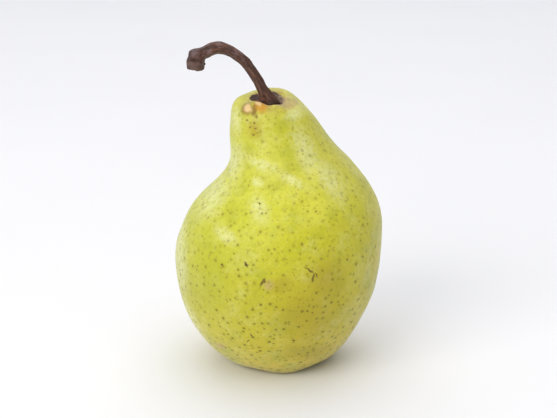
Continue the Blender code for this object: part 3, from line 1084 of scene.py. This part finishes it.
@dataclass
class Stem:
    """The woody stem: fibrous and bent over, with a swollen end where it broke off, in a cork collar."""

    fruit: Fruit
    finish: WoodyBark = field(default_factory=WoodyBark)
    node: str = "stem"
    thickness: float = 3.05
    segments: int = 72
    rings: int = 260
    ridges: int = 5
    twist: float = math.radians(70)
    joints: tuple[tuple[float, ...], ...] = (  # place, and thickness as a share of the thinnest
        (-1.05, -3.5, 82.4, 1.3),  # foot, inside the socket
        (-2.0, -3.9, 84.9, 1.85), (-3.2, -4.0, 87.4, 1.42), (-5.6, -4.3, 92.0, 1.02),
        (-9.4, -4.7, 97.7, 1.0), (-14.3, -5.7, 101.7, 1.08),
        (-18.8, -6.5, 102.7, 1.22),  # top of the bend
        (-22.1, -7.3, 101.5, 1.34),
        (-24.2, -7.9, 99.9, 1.74),  # swollen end, where it broke from the spur
        (-24.9, -8.1, 97.9, 1.72), (-25.1, -8.2, 96.5, 1.42),
    )
    knots: tuple[Knot, ...] = (  # along from the broken end, so below 0 is back from it
        Knot(-3.9, 85, 0.75, 55, 0.85),  # ledge on the outer side
        Knot(-2.75, 35, 0.40, 50, -1.05),  # crack under the ledge
        Knot(-6.2, 95, 1.4, 60, -0.25),
        Knot(-5.6, 275, 1.0, 45, -0.40),  # waist on the inner side
        Knot(-3.0, 270, 1.1, 40, 0.25), Knot(-1.6, 60, 1.1, 50, 0.25),
        Knot(-0.5, 285, 0.6, 35, 0.50),  # torn lip
        Knot(-9.0, 20, 1.2, 50, 0.22), Knot(-11.5, 80, 1.0, 40, 0.20),
        Knot(-14.0, 260, 1.4, 50, -0.14), Knot(-17.5, 320, 1.0, 40, 0.14),
        Knot(-21.0, 90, 1.6, 45, 0.12), Knot(-12.6, 0, 0.8, 30, -0.16),
    )
    end_rings: tuple[tuple[float, float], ...] = (  # share of the rim's size, and how far out it lies, in mm
        (0.97, 0.10), (0.90, 0.16), (0.80, 0.05), (0.68, -0.25), (0.50, -0.50), (0.30, -0.60), (0.12, -0.60)
    )
    collar_reach: tuple[tuple[float, float], ...] = (  # way round the stem in degrees, and radius in mm
        (-180, 5.5), (-150, 4.4), (-115, 3.0), (-80, 2.8), (-45, 2.9), (-10, 3.6),
        (25, 4.6), (60, 5.4), (95, 6.2), (130, 6.8), (160, 6.4), (180, 5.5),
    )
    collar_rings: int = 26
    collar_bore: float = 1.7  # mm, inside the stem
    collar_sink: float = 0.25  # how far the collar dips from the socket's lip to the stem, in millimetres
    axis: Array = field(default_factory=lambda: np.zeros((0, 3)))

    def rings_and_grain(self) -> tuple[Array, Array, float]:
        """Draws the stem's rings along its bent middle line.

        Returns:
            The rings, the same points on the straight stem, and the stem's length.
        """
        joints = np.array(self.joints)
        knots = np.concatenate([[0.0], np.cumsum(np.linalg.norm(np.diff(joints[:, :3], axis=0), axis=1))])
        places = np.linspace(0.0, knots[-1], self.rings)
        middles = natural_spline(knots, joints, places)
        forward = np.gradient(middles[:, :3], axis=0)
        forward /= np.linalg.norm(forward, axis=1, keepdims=True)
        side = np.array([0.0, -1.0, 0.0])
        angle = np.linspace(0, 2 * math.pi, self.segments, endpoint=False)
        rings = []
        grain = []
        for i, along in enumerate(forward):
            side = side - along * (side @ along)
            side /= np.linalg.norm(side)
            across = np.cross(along, side)
            turn = self.twist * i / (self.rings - 1)
            outward = side * np.cos(angle)[:, None] + across * np.sin(angle)[:, None]
            fibre = angle + turn / self.ridges
            height = np.full(self.segments, places[i])
            straight = np.stack([1.6 * np.cos(fibre), 1.6 * np.sin(fibre), height], axis=-1)
            reach = self.thickness / 2 * middles[i, 3] * (1 + 0.07 * np.cos(self.ridges * angle + turn))
            reach = reach + self.roughness(straight, angle, places[i] - knots[-1])
            rings.append(middles[i, :3] + outward * reach[:, None])
            grain.append(straight)
        return np.array(rings), np.array(grain), float(knots[-1])

    def roughness(self, straight: Array, angle: Array, from_end: float) -> Array:
        """Works out how far the bark stands out from the smooth stem, round one ring.

        Args:
            straight: the ring's points on the straight stem.
            angle: the way to each point, from the front.
            from_end: where the ring lies, in millimetres from the broken end, below 0.

        Returns:
            One rise for each point, in millimetres.
        """
        drawn = straight * np.array([1.0, 1.0, 0.16])
        rise = grain_noise(drawn, 0.75, 5.0) * 0.13 + grain_noise(drawn, 0.34, 9.0) * 0.09
        rise += grain_noise(straight, 2.4, 3.0) * 0.14
        near_end = float(smooth_step((from_end + 9.0) / 6.0))
        shreds = grain_noise(straight, 0.9, 15.0) * 0.22 + grain_noise(straight, 0.4, 19.0) * 0.10
        rise += near_end * shreds
        for knot in self.knots:
            off = (np.degrees(angle) - knot.round + 180) % 360 - 180
            behind = (from_end - knot.along) / knot.reach
            rise += knot.rise * np.exp(-((off / knot.spread) ** 2) - behind**2)
        return rise

    def close_end(self, rings: Array, grain: Array) -> tuple[Array, Array]:
        """Adds the torn end: rings that turn in over the rim and sink to a rough hollow.

        Args:
            rings: the stem's rings.
            grain: the same points on the straight stem.

        Returns:
            Both, with the end's rings added.
        """
        middle = rings[-1].mean(axis=0)
        along = middle - rings[-2].mean(axis=0)
        along /= np.linalg.norm(along)
        more, more_grain = [], []
        for share, depth in self.end_rings:
            ring = middle + (rings[-1] - middle) * share
            shred = grain_noise(ring, 0.55, 27.0) * 0.30 * smooth_step((1 - share) * 6)
            more.append(ring + along * (depth + shred)[:, None])
            inner = grain[-1] * np.array([share, share, 1.0])
            more_grain.append(inner + np.array([0.0, 0.0, (1 - share) * 1.5]))
        return np.concatenate([rings, more]), np.concatenate([grain, more_grain])

    def build(self) -> Piece:
        """Draws the stem in its node's box and dresses it in bark.

        Returns:
            The stem.
        """
        rings, grain, length = self.rings_and_grain()
        rings, grain = self.close_end(rings, grain)
        shell = Shell()
        shell.add_rings(rings, grain)
        piece = shell.finish("pear_stem_bark", self.finish.material(length), "stem_wood", self.node)
        low, high = (np.array(corner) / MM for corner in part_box(self.node))
        self.axis = into_box(rings.reshape(-1, 3), low, high).reshape(rings.shape).mean(axis=1)
        return piece

    def collar_edge(self, azimuth: Array) -> Array:
        """Draws the collar's ragged outer edge.

        Args:
            azimuth: the ways round the stem, in radians.

        Returns:
            The edge's radius each way, in millimetres.
        """
        bearings, reach = np.array(self.collar_reach).T
        ragged = 0.5 * np.sin(5 * azimuth + 1.0) + 0.3 * np.sin(11 * azimuth)
        ragged = ragged + 0.15 * np.sin(23 * azimuth + 2)
        return np.interp(azimuth, np.radians(bearings), reach) + 0.55 * ragged

    def build_collar(self) -> Piece:
        """Draws the ring of dry cork that lines the socket and laps over the skin round the stem's foot.

        Returns:
            The collar.
        """
        east, north = (axis[0] for axis in self.fruit.crown_axes(np.radians([24.0])))
        up = np.cross(east, north)
        foot = self.axis[np.argmin(np.abs(self.axis[:, 2] - 85.3))]
        azimuth = np.linspace(-math.pi, math.pi, 144, endpoint=False)
        outward = east * np.cos(azimuth)[:, None] + north * np.sin(azimuth)[:, None]
        fade = np.linspace(1.0, 0.0, self.collar_rings)[:, None]
        reach = self.collar_bore + (self.collar_edge(azimuth) - self.collar_bore) * (1.0 - fade)
        over = foot + outward * reach[..., None] + up * 9.0
        drop = np.full(reach.shape, 11.0)  # where nothing lies below, a little under the foot
        for place in np.ndindex(reach.shape):
            hit = self.fruit.skin.ray_cast(Vector(over[place]), Vector(-up))[0]
            if hit:
                drop[place] = (over[place] - np.array(hit)) @ up
        drop = np.minimum(drop, drop.min(axis=0) + self.collar_sink)
        wrinkle = grain_noise(over, 0.9, 37.0) * 0.20 + grain_noise(over, 0.4, 43.0) * 0.10
        thick = 0.06 + 0.30 * fade**0.5 + 0.7 * fade**5 + wrinkle * (0.3 + 0.7 * fade)
        top = (over - up * (drop - thick)[..., None])[::-1]
        shell = Shell()
        shell.add_band(np.concatenate([top, top[::-1] - up * 0.9]))
        return shell.finish("stem_collar_cork", CORK_COLLAR.material(), "stem_wood")


# ---------------- the calyx


@dataclass
class Calyx:
    """The dried end of the flower, in the basin under the pear: curled sepals round a tuft of stamens."""

    sepal_finish: DryTissue = DRY_SEPAL
    stamen_finish: DryTissue = DRY_STAMEN
    sepals: int = 5
    first_heading: float = math.radians(-80)
    filaments: int = 22
    styles: int = 5

    def sepal(self, number: int, material: Material) -> Piece:
        """Draws one sepal, a thin ribbed blade with ragged, drooping edges and a tip that curls away.

        Args:
            number: which sepal, from 1.
            material: what it is made of.

        Returns:
            The sepal, set into its node's box.
        """
        heading = self.first_heading + 2 * math.pi * (number - 1) / self.sepals
        outward = np.array([math.cos(heading), math.sin(heading), 0.0])
        across = np.array([-math.sin(heading), math.cos(heading), 0.0])
        turn = np.linspace(0, 2 * math.pi, 40, endpoint=False)
        rings = []
        for share in np.linspace(0.0, 1.0, 34):
            middle = outward * (1.9 + 4.7 * share)
            middle = middle + np.array([0.0, 0.0, 4.3 - 0.3 * share - 2.5 * share**2.2])
            width = 0.22 + 1.1 * math.sin(math.pi * (0.3 + 0.69 * share)) ** 0.8
            ragged = 1 + 0.10 * math.sin(31 * share + 2 * number) + 0.06 * math.sin(67 * share)
            side = np.cos(turn)
            droop = -0.35 * math.sin(math.pi * share) * side**2
            ribs = 0.05 * np.cos(side * 14) + 0.09 * np.exp(-((side / 0.14) ** 2))
            level = droop + np.sin(turn) * (0.13 + ribs * (1 - share) ** 0.3)
            level += 0.10 * np.sin(9 * share + 3 * side + number)
            ring = middle + across * (side * width * ragged)[:, None]
            ring[:, 2] += level
            rings.append(ring)
        grid = np.array(rings)
        grid[..., 2] += grain_noise(grid, 0.8, 47.0 + number) * 0.12
        shell = Shell()
        shell.add_rings(grid)
        node = f"calyx_sepal_{number}"
        return shell.finish(f"dried_sepal_{number}", material, "dried_calyx", node)

    def tuft(self) -> Piece:
        """Draws the stamens' thin dry filaments, bent and crossed, round the thicker styles.

        Returns:
            The tuft, set into its node's box.
        """
        shell = Shell()
        turn = np.linspace(0, 2 * math.pi, 8, endpoint=False)
        circle = np.stack([np.cos(turn), np.sin(turn), 0 * turn], axis=-1)
        for i in range(self.filaments + self.styles):
            style = i >= self.filaments
            heading = GOLDEN_ANGLE * i
            foot = 0.35 if style else 0.75 + 0.35 * ((i * 0.618) % 1)
            lean = (0.15 if style else 0.45) * math.sin(1.7 * i + 0.6)
            length = 2.3 if style else 1.5 + 0.9 * ((i * 0.377) % 1)
            thick = 0.17 if style else 0.10
            rings = []
            for share in np.linspace(0.0, 1.0, 12):
                swirl = heading + lean * share * 2
                reach = foot * (1 + 0.25 * math.sin(3 * share + i))
                place = [reach * math.cos(swirl), reach * math.sin(swirl), 4.7 - length * share]
                knob = 1 + 0.8 * math.exp(-(((share - 0.93) / 0.06) ** 2))
                rings.append(np.array(place) + circle * thick * knob * (1 - 0.3 * share))
            grid = np.array(rings)[:, ::-1]
            shell.add_rings(grid)
        material = self.stamen_finish.material()
        return shell.finish("dried_stamens", material, "dried_calyx", "calyx_stamen_tuft")

    def build(self) -> list[Piece]:
        """Draws the sepals and the tuft, each in its node's box.

        Returns:
            The sepals, and then the tuft.
        """
        material = self.sepal_finish.material()
        blades = [self.sepal(number, material) for number in range(1, self.sepals + 1)]
        return [*blades, self.tuft()]


# ---------------- the studio


@dataclass(frozen=True)
class SoftBox:
    """A lamp behind a sheet of cloth: where it hangs and its size, in metres, and its power in watts."""

    name: str
    place: tuple[float, float, float]
    wide: float
    tall: float
    watts: float
    tint: str = "#FFFFFF"


@dataclass
class Studio:
    """A white board under large soft lamps, and the camera that looks a little down on the pear."""

    finish: PaintedBoard = field(default_factory=PaintedBoard)
    floor_size: float = 8.0
    floor_tiles: int = 40
    air: str = "#F5F6FC"
    air_strength: float = 0.48
    lamps: tuple[SoftBox, ...] = (
        SoftBox("key_softbox", (-0.66, -0.80, 0.66), 0.80, 0.62, 7.5, "#FFFCF4"),
        SoftBox("far_softbox", (0.0, 1.50, 1.60), 2.40, 1.20, 10.0, "#FFFFFF"),
        SoftBox("top_softbox", (0.0, 0.0, 1.80), 2.50, 2.50, 19.0, "#FFFFFF"),
    )
    camera_height: float = 0.050  # of the point that it looks at
    camera_rise: float = math.radians(17)
    camera_away: float = 0.37
    lens: float = 75.0

    def build_floor(self) -> Piece:
        """Lays the board under the pear.

        Returns:
            The board.
        """
        across = self.floor_tiles + 1
        steps = np.linspace(-self.floor_size / 2, self.floor_size / 2, across)
        points = np.array([(x, y, 0.0) for y in steps for x in steps])
        faces = []
        for row in range(self.floor_tiles):
            for column in range(self.floor_tiles):
                corner = row * across + column
                faces.append((corner, corner + 1, corner + across + 1, corner + across))
        mesh = bpy.data.meshes.new("painted_board")
        mesh.from_pydata(points.tolist(), [], faces)
        mesh.shade_smooth()
        mesh.materials.append(self.finish.material())
        board = put("painted_board", mesh)
        return board

    def hang(self, lamp: SoftBox, target: Vector) -> Piece:
        """Hangs one lamp and turns it to the pear.

        Args:
            lamp: the lamp.
            target: where it shines, in metres.

        Returns:
            The light.
        """
        light = bpy.data.lights.new(lamp.name, "AREA")
        light.shape = "RECTANGLE"
        light.size = lamp.wide
        light.size_y = lamp.tall
        light.energy = lamp.watts
        light.color = linear(lamp.tint)[:3]
        hung = put(lamp.name, light)
        hung.location = lamp.place
        hung.rotation_euler = (target - Vector(lamp.place)).to_track_quat("-Z", "Y").to_euler()
        return hung

    def place_camera(self, target: Vector) -> Piece:
        """Sets the camera in front and a little above.

        Args:
            target: what it looks at, in metres.

        Returns:
            The camera.
        """
        camera = put("camera", bpy.data.cameras.new("camera"))
        back = Vector((0.0, -math.cos(self.camera_rise), math.sin(self.camera_rise)))
        camera.location = target + back * self.camera_away
        camera.rotation_euler = (-back).to_track_quat("-Z", "Y").to_euler()
        camera.data.lens = self.lens
        camera.data.dof.use_dof = False
        bpy.context.scene.camera = camera
        return camera

    def build(self) -> None:
        """Sets up the board, the lamps, the air's light and the camera."""
        low, high = CAD_BOX
        target = (low + high) / 2
        self.build_floor()
        for lamp in self.lamps:
            self.hang(lamp, target)
        world = bpy.data.worlds.new("studio_air")
        world.use_nodes = True
        air = world.node_tree.nodes["Background"]
        air.inputs["Color"].default_value = linear(self.air)
        air.inputs["Strength"].default_value = self.air_strength
        scene = bpy.context.scene
        scene.world = world
        scene.view_settings.view_transform = "Standard"
        scene.view_settings.look = "None"
        self.place_camera(Vector((target.x, 0.0, self.camera_height)))
        LOG.info("studio: %d lamps", len(self.lamps))


def main() -> None:
    """Builds the pear and its studio."""
    logging.basicConfig(level=logging.INFO, format="%(message)s")
    fruit = Fruit()
    fruit.build()
    stem = Stem(fruit)
    stem.build()
    stem.build_collar()
    Calyx().build()
    Studio().build()


if __name__ == "__main__":
    main()
